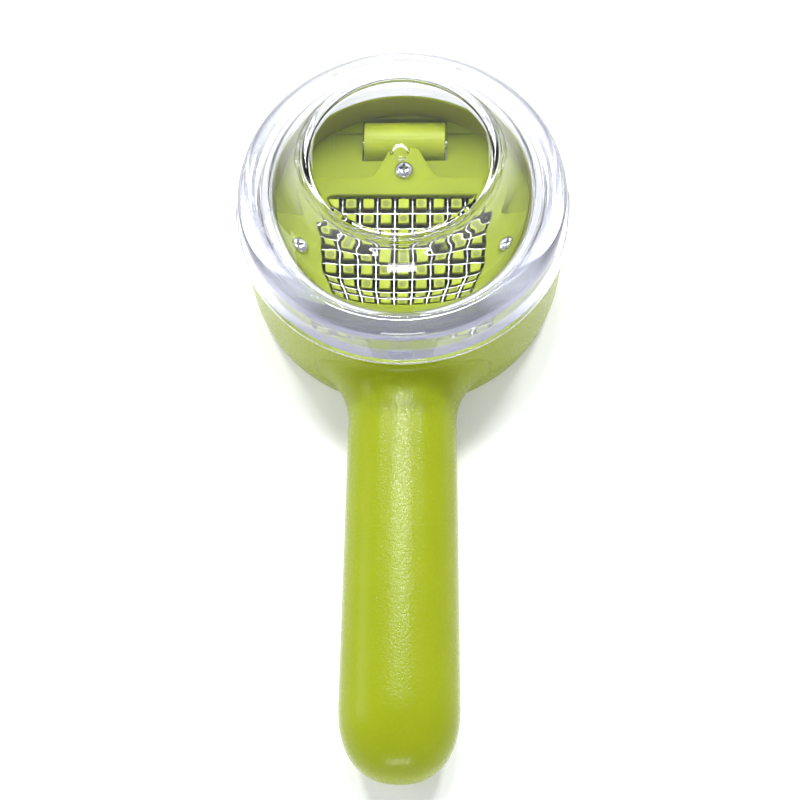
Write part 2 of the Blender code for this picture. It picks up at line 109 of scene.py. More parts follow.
# handle
HANDLE_END = upper_low.y
HANDLE_TOP = upper_high.z
END_HALF = (upper_high.x - upper_low.x) / 2
NECK_HALF = END_HALF - 0.8
NOSE_START = HEAD_Y - 112.0
ROUNDNESS = 2.35
SHELL_T = 2.2
BAR_STEPS = 96

# screws
SCREW_R = 2.3
SCREW_HEAD_H = 1.4

# light and deep tones of the green plastic, mixed at random. The copies are one green at different brightness,
# painted light and shade: darker for the inner parts under the cap, darker still for the collar and the
# ejector marks, lighter for the hinge knuckle, and near black for the gaps between pegs
LIME_OUTSIDE = ((0.290, 0.352, 0.010), (0.270, 0.330, 0.008))
LIME_INSIDE_SHADED = ((0.182, 0.222, 0.003), (0.168, 0.205, 0.002))
LIME_PEGS = ((0.245, 0.290, 0.006), (0.225, 0.270, 0.005))
LIME_COLLAR_SHADED = ((0.19, 0.20, 0.008), (0.17, 0.18, 0.006))
LIME_MARKS_SHADED = ((0.13, 0.155, 0.005), (0.12, 0.145, 0.004))
LIME_KNUCKLE_LIT = ((0.29, 0.345, 0.010), (0.27, 0.32, 0.008))
# near black green for peg sides below the blade tops: painted shade in the gaps
LIME_GAP_SHADE = (0.040, 0.050, 0.005)

# lamps: name, place and size in metres, and power in watts
LAMPS = (
    ("far_right", (0.34, 0.58, 0.85), (0.14, 0.14), 4.8),
    ("far_left", (-0.38, 0.58, 0.85), (0.14, 0.14), 4.8),
    ("key", (-0.01, 0.37, 0.95), (0.22, 0.10), 4.4),
    ("left", (-0.80, 0.10, 0.50), (0.4, 0.4), 1.5),
    ("front", (0.0, -1.00, 0.28), (0.42, 0.16), 3.0),
)


# ---------------------------------------------------------------- outlines


def rounded(corners, closed=True, steps=5):
    """An outline whose corners (x, y, radius) are turned into arcs."""
    points = []
    last = len(corners) - 1
    for place, (x, y, radius) in enumerate(corners):
        here = Vector((x, y))
        if radius <= 0 or (not closed and place in (0, last)):
            points.append((x, y))
            continue
        back = Vector(corners[place - 1][:2]) - here
        ahead = Vector(corners[(place + 1) % (last + 1)][:2]) - here
        reach = radius / math.tan(max(back.angle(ahead) / 2, 0.05))
        reach = min(reach, back.length * 0.49, ahead.length * 0.49)
        start = here + back.normalized() * reach
        end = here + ahead.normalized() * reach
        for i in range(steps + 1):
            t = i / steps
            point = start * (1 - t) ** 2 + here * 2 * t * (1 - t) + end * t * t
            points.append(tuple(point))
    return points


def flowing(points, steps=6):
    """A smooth curve through the points."""
    ends = [points[0]] + list(points) + [points[-1]]
    curve = []
    for a, b, c, d in zip(ends, ends[1:], ends[2:], ends[3:]):
        for i in range(steps):
            t = i / steps
            curve.append(tuple(
                0.5 * (
                    2 * q + (r - p) * t
                    + (2 * p - 5 * q + 4 * r - s) * t * t
                    + (3 * q - p - 3 * r + s) * t ** 3
                )
                for p, q, r, s in zip(a, b, c, d)
            ))
    curve.append(tuple(points[-1]))
    return curve


def arc(centre, radius, start, end, steps):
    points = []
    for i in range(steps + 1):
        angle = math.radians(start + (end - start) * i / steps)
        points.append((centre[0] + radius * math.cos(angle), centre[1] + radius * math.sin(angle)))
    return points


# ---------------------------------------------------------------- pieces


def finish_piece(name, mesh, body, material, replaced=(), smooth=30):
    made = bpy.data.objects.new(name, mesh)
    bpy.context.scene.collection.objects.link(made)
    mesh.materials.clear()
    mesh.materials.append(material)
    mesh.shade_smooth()
    mesh.set_sharp_from_angle(angle=math.radians(smooth))
    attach(made, body)
    if replaced:
        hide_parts(*replaced)
    return made


def mesh_from(name, solid):
    mesh = bpy.data.meshes.new(name)
    bmesh.ops.remove_doubles(solid, verts=solid.verts, dist=MERGE)
    bmesh.ops.recalc_face_normals(solid, faces=solid.faces)
    solid.to_mesh(mesh)
    solid.free()
    return mesh


def skin(solid, rings, closed=True, wrap=False):
    """Quads between neighbouring rings of points; wrap joins the last ring to the first."""
    made = [[solid.verts.new(Vector(point) * MM) for point in ring] for ring in rings]
    pairs = list(zip(made, made[1:]))
    if wrap:
        pairs.append((made[-1], made[0]))
    for ring, following in pairs:
        count = len(ring) if closed else len(ring) - 1
        for i in range(count):
            j = (i + 1) % len(ring)
            solid.faces.new((ring[i], following[i], following[j], ring[j]))
    return made


def turned(profile, centre, steps, closed_profile=True):
    solid = bmesh.new()
    add_turned(solid, profile, centre, steps, closed_profile)
    return solid


def add_turned(solid, profile, centre, steps, closed_profile=True):
    """A profile of (radius, height) turned about a vertical line."""
    rings = []
    for radius, height in profile:
        ring = []
        for i in range(steps):
            angle = 2 * math.pi * i / steps
            ring.append((centre[0] + radius * math.cos(angle), centre[1] + radius * math.sin(angle), height))
        rings.append(ring)
    skin(solid, rings, wrap=closed_profile)


def cut(target, cutter_solid):
    """Cut a solid that isn't kept out of a piece."""
    mesh = mesh_from("cutter", cutter_solid)
    cutter = bpy.data.objects.new("cutter", mesh)
    bpy.context.scene.collection.objects.link(cutter)
    modifier = target.modifiers.new("cut", "BOOLEAN")
    modifier.solver = "EXACT"
    modifier.operation = "DIFFERENCE"
    modifier.object = cutter
    apply_modifiers(target)
    bpy.data.objects.remove(cutter, do_unlink=True)


def apply_modifiers(target):
    bpy.context.view_layer.update()
    graph = bpy.context.evaluated_depsgraph_get()
    mesh = bpy.data.meshes.new_from_object(target.evaluated_get(graph))
    target.modifiers.clear()
    target.data = mesh


def add_box(solid, low, high):
    made = bmesh.ops.create_cube(solid, size=1.0)
    size = Vector(b - a for a, b in zip(low, high)) * MM
    centre = Vector((a + b) / 2 for a, b in zip(low, high)) * MM
    bmesh.ops.scale(solid, vec=size, verts=made["verts"])
    bmesh.ops.translate(solid, vec=centre, verts=made["verts"])


def plate_mesh(name, outlines, low, high, edge):
    """Flat outlines (later ones are holes) between two heights, with rounded edges."""
    curve = bpy.data.curves.new(name, "CURVE")
    curve.dimensions = "2D"
    curve.fill_mode = "BOTH"
    curve.extrude = ((high - low) / 2 - edge) * MM
    curve.bevel_depth = edge * MM
    curve.bevel_resolution = 2
    curve.offset = -edge * MM
    for outline in outlines:
        spline = curve.splines.new("POLY")
        spline.points.add(len(outline) - 1)
        for point, (x, y) in zip(spline.points, outline):
            point.co = (x * MM, y * MM, 0.0, 1.0)
        spline.use_cyclic_u = True
    drawn = bpy.data.objects.new(name, curve)
    drawn.location.z = (low + high) / 2 * MM
    bpy.context.scene.collection.objects.link(drawn)
    bpy.context.view_layer.update()
    graph = bpy.context.evaluated_depsgraph_get()
    mesh = bpy.data.meshes.new_from_object(drawn.evaluated_get(graph))
    mesh.transform(drawn.matrix_world)
    bpy.data.objects.remove(drawn, do_unlink=True)
    solid = bmesh.new()
    solid.from_mesh(mesh)
    return mesh_from(name, solid)


# ---------------------------------------------------------------- materials


class Nodes:
    """A small wrapper that adds and links shader nodes."""

    def __init__(self, name):
        self.material = bpy.data.materials.new(name)
        self.material.use_nodes = True
        self.tree = self.material.node_tree
        self.shader = self.tree.nodes["Principled BSDF"]
        self.output = self.tree.nodes["Material Output"]
        self.place = self.tree.nodes.new("ShaderNodeTexCoord").outputs["Object"]

    def add(self, kind, **settings):
        node = self.tree.nodes.new(kind)
        for key, value in settings.items():
            setattr(node, key, value)
        return node

    def link(self, start, end):
        self.tree.links.new(start, end)

    def stretched(self, scale, shift=(0.0, 0.0, 0.0)):
        mapping = self.add("ShaderNodeMapping")
        mapping.inputs["Scale"].default_value = scale
        mapping.inputs["Location"].default_value = shift
        self.link(self.place, mapping.inputs["Vector"])
        return mapping.outputs["Vector"]

    def noise(self, scale, detail=2.0, vector=None, roughness=0.5):
        node = self.add("ShaderNodeTexNoise")
        node.inputs["Scale"].default_value = scale
        node.inputs["Detail"].default_value = detail
        node.inputs["Roughness"].default_value = roughness
        self.link(vector or self.place, node.inputs["Vector"])
        return node.outputs["Fac"]

    def height(self):
        parts = self.add("ShaderNodeSeparateXYZ")
        self.link(self.place, parts.inputs["Vector"])
        return parts.outputs["Z"]

    def ramp(self, value, low, high, start=0.35, end=0.65):
        node = self.add("ShaderNodeMapRange")
        node.inputs["From Min"].default_value = start
        node.inputs["From Max"].default_value = end
        node.inputs["To Min"].default_value = low
        node.inputs["To Max"].default_value = high
        self.link(value, node.inputs["Value"])
        return node.outputs["Result"]

    def tint(self, value, first, second):
        node = self.add("ShaderNodeMix", data_type="RGBA")
        node.inputs["A"].default_value = (*first, 1.0)
        node.inputs["B"].default_value = (*second, 1.0)
        self.link(value, node.inputs["Factor"])
        return node.outputs["Result"]

    def stops(self, value, colours):
        """A colour ramp with (position, colour) stops."""
        node = self.add("ShaderNodeValToRGB")
        elements = node.color_ramp.elements
        for place, (position, colour) in enumerate(colours):
            stop = elements[place] if place < 2 else elements.new(position)
            stop.position = position
            stop.color = (*colour, 1.0)
        self.link(value, node.inputs["Fac"])
        return node.outputs["Color"]

    def bump(self, value, distance, strength=1.0, under=None):
        node = self.add("ShaderNodeBump")
        node.inputs["Distance"].default_value = distance
        node.inputs["Strength"].default_value = strength
        self.link(value, node.inputs["Height"])
        if under:
            self.link(under, node.inputs["Normal"])
        return node.outputs["Normal"]

    def set(self, **values):
        for key, value in values.items():
            self.shader.inputs[key.replace("_", " ")].default_value = value

    def feed(self, **sources):
        for key, source in sources.items():
            self.link(source, self.shader.inputs[key.replace("_", " ")])


def lime_plastic(name, shades, grain, roughness, shine, shade_below=None, grain_scale=2600.0):
    """Moulded lime green plastic with a fine grain; below the height shade_below it is painted nearly black,
    as shade in the deep gaps.
    """
    light, deep = shades
    nodes = Nodes(name)
    cloudy = nodes.noise(60.0, 3.0)
    fine = nodes.noise(grain_scale, 2.0, roughness=0.6)
    colour = nodes.tint(nodes.ramp(cloudy, 0.0, 1.0), deep, light)
    # below shade_below the colour fades to a near black green: painted shade in the gaps between pegs and
    # blades
    if shade_below:
        unshaded = nodes.ramp(nodes.height(), 0.0, 1.0, (shade_below - 0.7) * MM, shade_below * MM)
        mixed = nodes.add("ShaderNodeMix", data_type="RGBA")
        mixed.inputs["A"].default_value = (*LIME_GAP_SHADE, 1.0)
        nodes.link(colour, mixed.inputs["B"])
        nodes.link(unshaded, mixed.inputs["Factor"])
        colour = mixed.outputs["Result"]
    nodes.feed(Base_Color=colour)
    nodes.feed(Roughness=nodes.ramp(fine, roughness - 0.06, roughness + 0.1))
    nodes.feed(Normal=nodes.bump(fine, grain * MM))
    nodes.set(Subsurface_Weight=0.12, Subsurface_Radius=(1.0, 1.0, 0.25), Subsurface_Scale=0.0015)
    nodes.set(IOR=1.5, Specular_IOR_Level=shine)
    return nodes.material


def blade_steel():
    """Thin rolled strip with a faint lengthwise brushing, bright along its ground edge; below the edge its
    flanks are painted near black, as shade in the narrow gaps.
    """
    nodes = Nodes("blade_steel")
    brushed = nodes.noise(900.0, 3.0, nodes.stretched((1.0, 1.0, 9.0)))
    height = nodes.height()
    # the steel is painted near black below its ground edge: painted shade on the flanks in the gaps
    bright = nodes.ramp(height, 0.0, 1.0, (blade_high.z - 0.13) * MM, (blade_high.z - 0.05) * MM)
    nodes.feed(Roughness=nodes.ramp(brushed, 0.12, 0.34))
    nodes.feed(Base_Color=nodes.tint(bright, (0.03, 0.03, 0.035), (0.88, 0.89, 0.91)))
    nodes.feed(Normal=nodes.bump(brushed, 0.01 * MM))
    nodes.set(Metallic=1.0)
    return nodes.material


def screw_steel():
    nodes = Nodes("screw_steel")
    worn = nodes.noise(700.0, 4.0)
    nodes.feed(Roughness=nodes.ramp(worn, 0.1, 0.3))
    nodes.feed(Base_Color=nodes.tint(worn, (0.68, 0.69, 0.7), (0.86, 0.86, 0.88)))
    nodes.feed(Normal=nodes.bump(worn, 0.008 * MM))
    nodes.set(Metallic=1.0)
    return nodes.material


def bright_underside():
    """The underside of the cap's ring: clear over the handle, then a mirror, then half a mirror at the hinge.

    It stands in for light that the thick clear plastic turns back inside itself.
    """
    nodes = Nodes("bright_underside")
    along = nodes.add("ShaderNodeSeparateXYZ")
    nodes.link(nodes.place, along.inputs["Vector"])
    near = nodes.ramp(along.outputs["Y"], 0.0, 1.0, (HEAD_Y - 28.0) * MM, (HEAD_Y - 12.0) * MM)
    far = nodes.ramp(along.outputs["Y"], 0.0, 0.5, (HEAD_Y + 14.0) * MM, (HEAD_Y + 28.0) * MM)
    mirror = nodes.add("ShaderNodeMath", operation="SUBTRACT")
    nodes.link(near, mirror.inputs[0])
    nodes.link(far, mirror.inputs[1])
    clear = nodes.ramp(along.outputs["Y"], 1.0, 0.0, (HEAD_Y - 28.0) * MM, (HEAD_Y - 12.0) * MM)
    nodes.feed(Metallic=mirror.outputs["Value"], Transmission_Weight=clear)
    nodes.set(Base_Color=(0.86, 0.86, 0.89, 1.0), Roughness=0.12, IOR=1.5)
    return nodes.material


def clear_plastic(name="clear_plastic", roughness=0.015, striped=0.0, clarity=1.0, shade=(0.9, 0.92, 0.92)):
    """Polished clear plastic. Lamps shine through it, so what it covers stays lit.

    striped is the depth of fine radial marks. With a clarity below 1 it is partly opaque, and its colour along
    the tool is painted reflection and shade.
    """
    nodes = Nodes(name)
    ripple = nodes.noise(60.0, 1.0)
    surface = nodes.bump(ripple, 0.01 * MM)
    if striped:
        place = nodes.add("ShaderNodeSeparateXYZ")
        nodes.link(nodes.stretched((1.0, 1.0, 1.0), (0.0, -HEAD_Y * MM, 0.0)), place.inputs["Vector"])
        angle = nodes.add("ShaderNodeMath", operation="ARCTAN2")
        nodes.link(place.outputs["Y"], angle.inputs[0])
        nodes.link(place.outputs["X"], angle.inputs[1])
        around = nodes.add("ShaderNodeCombineXYZ")
        nodes.link(angle.outputs["Value"], around.inputs["X"])
        surface = nodes.bump(nodes.noise(34.0, 3.0, around.outputs["Vector"]), striped * MM, under=surface)
    nodes.feed(Normal=surface)
    nodes.set(Base_Color=(0.985, 0.99, 0.99, 1.0), Roughness=roughness, IOR=1.5, Transmission_Weight=clarity)
    if clarity < 1.0:
        along = nodes.add("ShaderNodeSeparateXYZ")
        nodes.link(nodes.place, along.inputs["Vector"])
        across = nodes.ramp(along.outputs["Y"], 0.0, 1.0, (HEAD_Y - CAP_R) * MM, (HEAD_Y + CAP_R) * MM)
        nodes.feed(Transmission_Weight=nodes.ramp(across, clarity, 1.0, 0.2, 0.8))
        # painted reflection and shade along the tool: lavender over the handle, grey at the sides, pale at the
        # hinge
        nodes.feed(Base_Color=nodes.stops(across, [
            (0.0, (0.66, 0.66, 0.82)), (0.25, (0.58, 0.59, 0.70)), (0.5, (0.36, 0.37, 0.42)),
            (0.75, (0.48, 0.49, 0.53)), (1.0, (0.80, 0.80, 0.82)),
        ]))
    see_through = nodes.add("ShaderNodeBsdfTransparent")
    see_through.inputs["Color"].default_value = (*shade, 1.0)
    path = nodes.add("ShaderNodeLightPath")
    mixed = nodes.add("ShaderNodeMixShader")
    nodes.link(path.outputs["Is Shadow Ray"], mixed.inputs["Fac"])
    nodes.link(nodes.shader.outputs["BSDF"], mixed.inputs[1])
    nodes.link(see_through.outputs["BSDF"], mixed.inputs[2])
    nodes.link(mixed.outputs["Shader"], nodes.output.inputs["Surface"])
    return nodes.material


# ---------------------------------------------------------------- clear cap


def make_cap(clear, bead_clear, underside):
    """Crown, bell-shaped flank, rounded bead and flange as one thick clear moulding."""
    crown = CAP_TOP
    bead_r = 3.75
    bead_z = crown - 17.6
    top = [
        (0.0, crown - 0.15), (0.9, crown - 0.3), (1.5, crown - 0.3), (1.75, crown - 0.05),
        (1.95, crown), (2.3, crown),
        (20.0, crown), (20.6, crown), (21.1, crown - 0.12), (21.5, crown - 0.45),
    ]
    flank = flowing([
        (21.7, crown - 0.8),
        (22.1, crown - 2.2),
        (22.9, crown - 4.2),
        (24.4, crown - 6.9),
        (26.6, crown - 9.5),
        (29.2, crown - 11.8),
        (31.4, crown - 13.2),
        (32.9, crown - 13.9),
    ])
    bead = arc((CAP_R - 1.25 - bead_r, bead_z), bead_r, 98.0, 0.0, 16)
    skirt = flowing([bead[-1], (37.3, crown - 19.4), (37.4, crown - 22.0), (37.7, crown - 23.8)])
    flange = rounded([
        (37.7, crown - 23.8, 0.0),
        (38.0, FLANGE_Z + 1.5, 0.8),
        (CAP_R, FLANGE_Z + 0.9, 0.3),
        (CAP_R, FLANGE_Z, 0.3),
        (COLLAR_R, FLANGE_Z, 0.1),
        (COLLAR_R, crown - 21.0, 0.0),
    ], closed=False)
    inner = flowing([
        (COLLAR_R, crown - 21.0),
        (31.3, crown - 18.6),
        (30.6, crown - 16.4),
        (28.7, crown - 13.9),
        (26.1, crown - 11.6),
        (23.7, crown - 9.1),
        (21.6, crown - 6.0),
        (20.5, crown - 3.4),
        (19.9, crown - 2.5),
    ])
    under = [(19.4, crown - 2.4), (18.9, crown - 2.4), (0.0, crown - 2.4)]
    profile = top + flank + bead + skirt[1:] + flange[1:] + inner[1:] + under
    solid = turned(profile, (0.0, HEAD_Y), TURN_STEPS, closed_profile=False)
    spigot = rounded([
        (34.7, FLANGE_Z - 0.02, 0.0), (34.7, cap_low.z, 0.4),
        (33.5, cap_low.z, 0.4), (33.5, FLANGE_Z - 0.02, 0.0),
    ])
    add_turned(solid, spigot, (0.0, HEAD_Y), TURN_STEPS // 2)
    mesh = mesh_from("cap", solid)
    finish_piece("cap", mesh, "cap", clear, ["clear_cap"])
    mesh.materials.append(underside)
    mesh.materials.append(bead_clear)
    for face in mesh.polygons:
        radius = math.hypot(face.center.x, face.center.y - HEAD_Y * MM) / MM
        height = face.center.z / MM
        if FLANGE_Z - 0.01 < height < FLANGE_Z + 0.05:
            face.material_index = 1
        elif height > FLANGE_Z + 1.5 and radius > 32.9:
            face.material_index = 2


def make_tab(clear):
    """The small raised tab on the cap's skirt, over the handle."""
    solid = bmesh.new()
    add_box(solid, tab_low, tab_high)
    bmesh.ops.bevel(solid, geom=list(solid.edges), offset=0.15 * MM, segments=3, affect="EDGES")
    finish_piece("tab", mesh_from("tab", solid), "cap", clear, ["cap_tab"], 40)


# ---------------------------------------------------------------- head


def wall_radius(z):
    """Outer radius of the head wall, which draws in towards the bottom."""
    share = min(max((21.0 - z) / 21.0, 0.0), 1.0)
    return WALL_R - 0.05 - 0.8 * share * share


def make_head(green, shaded):
    """Outer wall, cap groove and inner collar in one turned moulding, with the slot for the lower lever."""
    inner_low = 34.6
    corners = [(wall_radius(z), z, 2.0) for z in (23.0, 17.0, 11.0, 5.0)]
    corners += [
        (WALL_R - 1.1, 0.7, 1.0),
        (WALL_R - 2.1, 0.0, 0.4),
        (inner_low, 0.0, 0.3),
        (inner_low, DECK_TOP + 0.3, 0.0),
        (COLLAR_R, DECK_TOP + 0.3, 0.1),
        (COLLAR_R, WALL_TOP, 0.5),
        (33.1, WALL_TOP, 0.3),
        (33.1, 24.2, 0.3),
        (35.0, 24.2, 0.3),
        (35.0, WALL_TOP, 0.3),
        (WALL_R - 0.05, WALL_TOP, 0.5),
    ]
    mesh = mesh_from("head", turned(rounded(corners), (0.0, HEAD_Y), TURN_STEPS))
    head = finish_piece("head", mesh, "upper_lever", green, ["head_shell"])
    slot = bmesh.new()
    add_box(slot, (-9.0, HEAD_Y - 43.0, -2.0), (9.0, HEAD_Y - 28.6, 13.0))
    cut(head, slot)
    head.data.materials.append(shaded)
    # faces inside the collar, below its top, take the darker green: painted shade on the collar wall
    for face in head.data.polygons:
        radius = math.hypot(face.center.x, face.center.y - HEAD_Y * MM) / MM
        if radius < COLLAR_R + 0.02 and face.center.z < (WALL_TOP - 0.6) * MM:
            face.material_index = 1


# ---------------------------------------------------------------- handle


def signed_power(value, power):
    return math.copysign(abs(value) ** power, value)


def half_width_at(y):
    neck = HEAD_Y - 34.0
    share = min(max((neck - y) / (neck - NOSE_START), 0.0), 1.0)
    return NECK_HALF + (END_HALF - NECK_HALF) * share


def bar_point(y, angle, shrink=1.0):
    """A point of the rounded bar; its middle height stays the same up to the nose."""
    middle = HANDLE_TOP / 2
    x = half_width_at(y) * shrink * signed_power(math.cos(angle), 2 / ROUNDNESS)
    z = middle + middle * shrink * signed_power(math.sin(angle), 2 / ROUNDNESS)
    return (x, y, z)


def bar_stations(first):
    stations = [(first + (NOSE_START - first) * i / 20, 1.0) for i in range(21)]
    for i in range(1, 29):
        angle = math.pi / 2 * i / 28
        power = 2 / 2.3
        stations.append((NOSE_START - (NOSE_START - HANDLE_END) * math.sin(angle) ** power,
                         max(math.cos(angle), 0.0) ** power))
    return stations


def neck_curve(angle, side_flare=8.5, top_flare=3.2):
    """The line from the wall into the bar: a fillet that is wide at the sides and small on top."""
    x, _, z = bar_point(HEAD_Y - 40.0, angle)
    across = math.cos(angle)
    upward = math.sin(angle)
    flare = side_flare * abs(across) + top_flare * max(upward, 0.0)
    wall_x = x + side_flare * signed_power(across, 1.5)
    wall_z = z + top_flare * max(upward, 0.0)
    radius = wall_radius(wall_z) - 0.03
    wall_y = -math.sqrt(radius ** 2 - wall_x ** 2)
    corner_y = (radius ** 2 - x * wall_x) / wall_y
    start = Vector((wall_x, HEAD_Y + wall_y, wall_z))
    corner = Vector((x, HEAD_Y + corner_y, z))
    end = Vector((x, HEAD_Y + corner_y - flare - 1.0, z))
    steps = 12
    points = []
    for i in range(steps + 1):
        t = i / steps
        points.append(start * (1 - t) ** 2 + corner * 2 * t * (1 - t) + end * t * t)
    return points


def make_upper_handle(green):
    angles = [2 * math.pi * (i + 0.5) / BAR_STEPS for i in range(BAR_STEPS)]
    necks = [neck_curve(angle) for angle in angles]
    rings = [[neck[i] for neck in necks] for i in range(len(necks[0]))]
    common = HEAD_Y - 56.0
    for i in range(1, 5):
        share = i / 5
        rings.append([bar_point(neck[-1].y * (1 - share) + common * share, angle)
                      for neck, angle in zip(necks, angles)])
    for y, shrink in bar_stations(common):
        rings.append([bar_point(y, angle, shrink) for angle in angles])
    solid = bmesh.new()
    skin(solid, rings)
    split_skin(solid, upper_low.z, keep_above=True)
    mesh = mesh_from("handle_top", solid)
    handle = finish_piece("handle_top", mesh, "upper_lever", green, ["upper_handle"], 40)
    thicken(handle)


def make_lower_handle(green, clear_radius=38.7):
    angles = [2 * math.pi * (i + 0.5) / BAR_STEPS for i in range(BAR_STEPS)]
    common = HEAD_Y - 44.0
    rings = []
    for i in range(4):
        share = i / 4
        ring = []
        for angle in angles:
            x, _, _ = bar_point(common, angle)
            start = HEAD_Y - math.sqrt(clear_radius ** 2 - x ** 2)
            ring.append(bar_point(start * (1 - share) + common * share, angle))
        rings.append(ring)
    for y, shrink in bar_stations(common):
        rings.append([bar_point(y, angle, shrink) for angle in angles])
    solid = bmesh.new()
    skin(solid, rings)
    split_skin(solid, lower_high.z, keep_above=False)
    mesh = mesh_from("handle_bottom", solid)
    handle = finish_piece("handle_bottom", mesh, "lower_lever", green, ["lower_handle"], 40)
    thicken(handle)


def split_skin(solid, height, keep_above):
    bmesh.ops.remove_doubles(solid, verts=solid.verts, dist=MERGE)
    everything = list(solid.verts) + list(solid.edges) + list(solid.faces)
    bmesh.ops.bisect_plane(
        solid, geom=everything, plane_co=(0.0, 0.0, height * MM), plane_no=(0.0, 0.0, 1.0),
        clear_inner=keep_above, clear_outer=not keep_above,
    )


def thicken(piece, thickness=SHELL_T):
    solidify = piece.modifiers.new("wall", "SOLIDIFY")
    solidify.thickness = thickness * MM
    solidify.offset = -1.0
    solidify.use_even_offset = True


# ---------------------------------------------------------------- blade grid and pegs


def make_plate(green):
    """The screwed plate over the blades, with its ear towards the hinge."""
    far = HEAD_Y + 12.2
    radius = COLLAR_R - 0.2
    right = rounded([
        (0.0, HEAD_Y + 20.6, 0.0),
        (3.3, HEAD_Y + 20.4, 2.5),
        (5.4, HEAD_Y + 16.0, 2.5),
        (7.6, far, 3.0),
        (21.9, far, 1.2),
        (21.9, HEAD_Y + 3.7, 0.8),
        (30.8, HEAD_Y + 3.2, 0.0),
    ], closed=False)
    right[-1:] = arc((0.0, HEAD_Y), radius, 6.3, -90.0, 48)
    outline = right + [(-x, y) for x, y in reversed(right[1:-1])]
    window = rounded([
        (side_x * (GRID_HALF_X - 0.05), GRID_Y + side_y * (GRID_HALF_Y - 0.05), 2.3)
        for side_x, side_y in SQUARE
    ])
    holes = [arc((x, y), 1.5, 0.0, 337.5, 15) for x, y, _ in screw_spots.values()]
    mesh = plate_mesh("plate", [outline, window] + holes, plate_low.z, plate_high.z, 0.3)
    finish_piece("blade_plate", mesh, "upper_lever", green, ["blade_frame"])


def strip(solid, start, end, across, low, high, thickness):
    """One blade: a strip whose top is ground to an edge."""
    ground = 0.12
    edge = thickness / 2 - 0.09
    section = (
        (-thickness / 2, low), (thickness / 2, low), (thickness / 2, high - ground),
        (edge, high), (-edge, high), (-thickness / 2, high - ground),
    )
    rings = []
    for place in (start, end):
        rings.append([Vector(place) + Vector(across) * side + Vector((0.0, 0.0, z)) for side, z in section])
    made = skin(solid, rings)
    solid.faces.new(made[0])
    solid.faces.new(list(reversed(made[-1])))


def make_blades(steel):
    low, high = blade_low.z, blade_high.z
    reach = RIM_OUT - 0.55
    for number in range(1, COLUMNS):
        x = (number - COLUMNS / 2) * PITCH_X
        solid = bmesh.new()
        ends = [(x, GRID_Y - GRID_HALF_Y - reach, 0.0), (x, GRID_Y + GRID_HALF_Y + reach, 0.0)]
        strip(solid, *ends, (1.0, 0.0, 0.0), low, high, BLADE_T)
        name = f"blade_long_{number}"
        finish_piece(name, mesh_from(name, solid), "upper_lever", steel,
                     [f"long_blade_{number}"], 10)
    for number in range(1, ROWS):
        y = GRID_Y + (number - ROWS / 2) * PITCH_Y
        solid = bmesh.new()
        ends = [(-GRID_HALF_X - reach, y, 0.0), (GRID_HALF_X + reach, y, 0.0)]
        strip(solid, *ends, (0.0, 1.0, 0.0), low, high, BLADE_T)
        name = f"blade_cross_{number}"
        finish_piece(name, mesh_from(name, solid), "upper_lever", steel,
                     [f"cross_blade_{number}"], 10)


def make_pegs(green, mark_shade):
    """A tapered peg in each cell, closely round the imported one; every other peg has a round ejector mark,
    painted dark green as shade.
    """
    side = 2.45
    root = 2.75
    chamfer = 0.12
    top = peg_high.z + 0.05
    floor = peg_high.z - 5.9
    solid = bmesh.new()
    for column in range(COLUMNS):
        for row in range(ROWS):
            x = (column - (COLUMNS - 1) / 2) * PITCH_X
            y = GRID_Y + (row - (ROWS - 1) / 2) * PITCH_Y
            rings = []
            for half, height in (
                (root / 2, floor), (side / 2, top - chamfer),
                (side / 2 - chamfer * 0.4, top - chamfer * 0.3), (side / 2 - chamfer, top),
            ):
                corners = rounded([(sx * half, sy * half, 0.3) for sx, sy in SQUARE], steps=3)
                rings.append([(x + dx, y + dy, height) for dx, dy in corners])
            made = skin(solid, rings)
            solid.faces.new(made[-1])
            if (column + row) % 2 == 0:
                add_mark(solid, x, y, top)
    mesh = mesh_from("pegs", solid)
    finish_piece("pegs", mesh, "lower_lever", green)
    mesh.materials.append(mark_shade)
    # the raised marks' faces take the darker green: painted shade
    for face in mesh.polygons:
        if face.center.z > (top + 0.001) * MM:
            face.material_index = 1


def add_mark(solid, x, y, top):
    """A low round disc left by an ejector pin."""
    rings = []
    for radius, height in ((0.85, top - 0.05), (0.85, top + 0.01), (0.78, top + 0.03), (0.0, top + 0.03)):
        rings.append([(x + dx, y + dy, height) for dx, dy in arc((0.0, 0.0), radius, 0.0, 345.0, 23)])
    skin(solid, rings)


# ---------------------------------------------------------------- screws


def make_screws(steel, painted_recess_shade):
    for label, (x, y, top) in screw_spots.items():
        head_z = top - SCREW_HEAD_H
        profile = rounded([
            (0.0, top, 0.0), (1.3, top - 0.02, 1.2), (2.05, top - 0.5, 0.8), (SCREW_R, head_z + 0.4, 0.2),
            (SCREW_R, head_z, 0.1), (1.2, head_z, 0.0), (1.2, head_z - 7.0, 0.2), (0.0, head_z - 8.2, 0.0),
        ], closed=False)
        mesh = mesh_from("screw", turned(profile, (x, y), 64, closed_profile=False))
        name = "screw_" + label
        screw = finish_piece(name, mesh, "upper_lever", steel, ["frame_screw_" + label], 40)
        recess = bmesh.new()
        rings = []
        for spread, height in ((0.75, top - 1.0), (1.0, top - 0.3), (1.08, top + 0.5)):
            plus = []
            for turn in range(4):
                for dx, dy in ((0.34, -0.34), (1.25, -0.24), (1.25, 0.24)):
                    for _ in range(turn):
                        dx, dy = -dy, dx
                    plus.append((x + dx * spread, y + dy * spread, height))
            rings.append(plus)
        made = skin(recess, rings)
        recess.faces.new(made[0])
        recess.faces.new(made[-1])
        cut(screw, recess)
        # the cross recess takes the dark steel: painted shade in the recess
        screw.data.materials.append(painted_recess_shade)
        for face in screw.data.polygons:
            centre = face.center / MM
            if math.hypot(centre.x - x, centre.y - y) < 1.3 and top - 1.05 < centre.z < top - 0.3:
                face.material_index = 1


# ---------------------------------------------------------------- floor, light and camera


